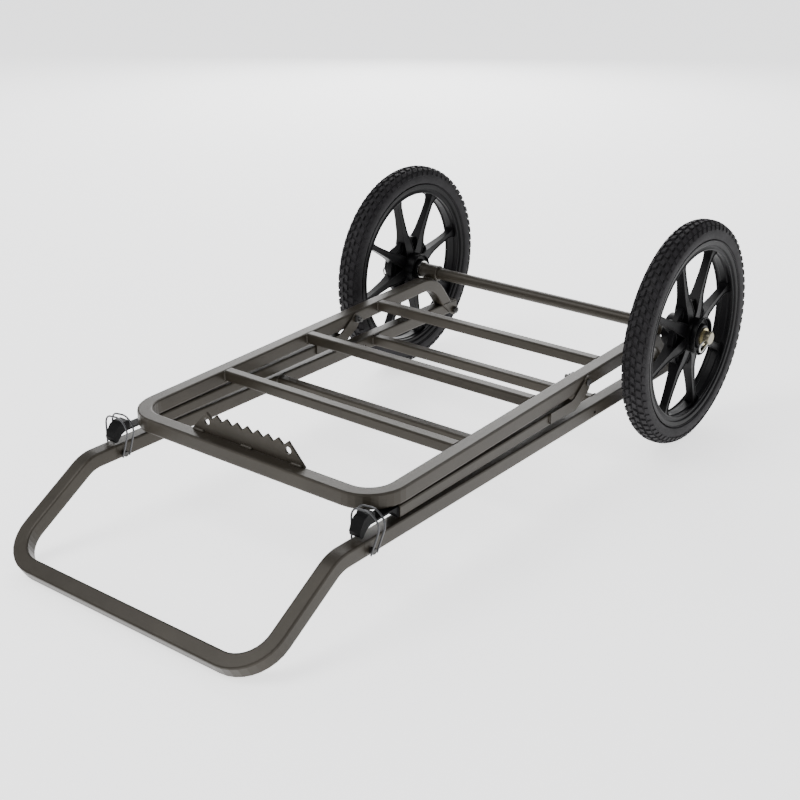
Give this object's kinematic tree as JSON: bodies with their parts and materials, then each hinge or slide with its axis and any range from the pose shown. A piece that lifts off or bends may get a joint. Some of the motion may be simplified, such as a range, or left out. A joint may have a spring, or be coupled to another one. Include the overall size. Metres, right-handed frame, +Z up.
{
  "type": "folding game cart",
  "caption": "Folding two-wheeled game cart with an open tubular deck, toothed tree bracket, fold-down lower frame with a pull handle, stowed legs and spoked wheels",
  "frame": {"origin": "on the ground under the centre of the bounding box", "axes": "+Z up, +Y from the pull handle towards the wheels, +X to the right when seen from the handle"},
  "size_m": [0.734, 1.2948, 0.4124],
  "materials": {
    "bronze_powder_coat": "matte bronze-grey powder coat over square steel tube",
    "dark_steel": "dark oiled steel",
    "zinc_steel": "bright zinc-plated steel",
    "foot_rubber": "black moulded rubber",
    "tyre": "black tread rubber",
    "moulded_wheel": "black injection-moulded plastic, satin"
  },
  "bodies": {
    "deck": {"deck_frame": "bronze_powder_coat", "deck_cross_tube_front": "bronze_powder_coat", "deck_cross_tube_middle": "bronze_powder_coat", "deck_cross_tube_rear": "bronze_powder_coat", "tree_bracket": "bronze_powder_coat", "deck_lug_left": "bronze_powder_coat", "deck_lug_right": "bronze_powder_coat", "axle": "bronze_powder_coat", "axle_collar_left": "bronze_powder_coat", "axle_collar_right": "bronze_powder_coat", "washer_inner_left": "zinc_steel", "washer_inner_right": "zinc_steel", "washer_outer_left": "zinc_steel", "washer_outer_right": "zinc_steel", "lower_pivot_bolt_left": "dark_steel", "lower_pivot_bolt_right": "dark_steel", "leg_pivot_bolt_left": "dark_steel", "leg_pivot_bolt_right": "dark_steel"},
    "lower_frame": {"lower_rail_left": "bronze_powder_coat", "lower_rail_right": "bronze_powder_coat", "lower_cross_tube_front": "bronze_powder_coat", "lower_cross_tube_rear": "bronze_powder_coat", "pull_handle": "bronze_powder_coat", "handle_stub_left": "bronze_powder_coat", "handle_stub_right": "bronze_powder_coat"},
    "leg_left": {"leg_tube_left": "bronze_powder_coat", "leg_plate_inner_left": "bronze_powder_coat", "leg_plate_outer_left": "bronze_powder_coat", "leg_foot_left": "foot_rubber"},
    "lock_left": {"lock_pin_left": "dark_steel", "lock_bow_left": "dark_steel"},
    "clip_left": {"axle_clip_left": "zinc_steel"},
    "road_wheel_left": {"tyre_left": "tyre", "wheel_left": "moulded_wheel", "hub_liner_left": "zinc_steel"},
    "leg_right": {"leg_tube_right": "bronze_powder_coat", "leg_plate_inner_right": "bronze_powder_coat", "leg_plate_outer_right": "bronze_powder_coat", "leg_foot_right": "foot_rubber"},
    "lock_right": {"lock_pin_right": "dark_steel", "lock_bow_right": "dark_steel"},
    "clip_right": {"axle_clip_right": "zinc_steel"},
    "road_wheel_right": {"tyre_right": "tyre", "wheel_right": "moulded_wheel", "hub_liner_right": "zinc_steel"}
  },
  "joints": [
    {"name": "lower_frame_fold", "type": "hinge", "parent": "deck", "child": "lower_frame", "pos_m": [0, 0.50518, 0.1101], "axis": [1, 0, 0], "range_deg": [0, 90]},
    {"name": "leg_fold_left", "type": "hinge", "parent": "deck", "child": "leg_left", "pos_m": [0, 0.18018, 0.1807], "axis": [1, 0, 0], "range_deg": [0, 90]},
    {"name": "lock_turn_left", "type": "hinge", "parent": "lower_frame", "child": "lock_left", "pos_m": [-0.2568, -0.40282, 0.112], "axis": [1, 0, 0], "range_deg": [0, 60]},
    {"name": "clip_pull_left", "type": "slide", "parent": "deck", "child": "clip_left", "axis": [0, -0.9659, -0.2588], "range_m": [0, 0.042]},
    {"name": "wheel_spin_left", "type": "hinge", "parent": "deck", "child": "road_wheel_left", "pos_m": [-0.317, 0.44118, 0.2062], "axis": [1, 0, 0], "continuous": true},
    {"name": "leg_fold_right", "type": "hinge", "parent": "deck", "child": "leg_right", "pos_m": [0, 0.18018, 0.1807], "axis": [1, 0, 0], "range_deg": [0, 90]},
    {"name": "lock_turn_right", "type": "hinge", "parent": "lower_frame", "child": "lock_right", "pos_m": [0.2568, -0.40282, 0.112], "axis": [1, 0, 0], "range_deg": [0, 60]},
    {"name": "clip_pull_right", "type": "slide", "parent": "deck", "child": "clip_right", "axis": [0, -0.9659, -0.2588], "range_m": [0, 0.042]},
    {"name": "wheel_spin_right", "type": "hinge", "parent": "deck", "child": "road_wheel_right", "pos_m": [0.317, 0.44118, 0.2062], "axis": [1, 0, 0], "continuous": true}
  ],
  "couplings": [
    {"joint": "leg_fold_left", "follows": "lower_frame_fold", "ratio": 1},
    {"joint": "leg_fold_right", "follows": "lower_frame_fold", "ratio": 1}
  ]
}
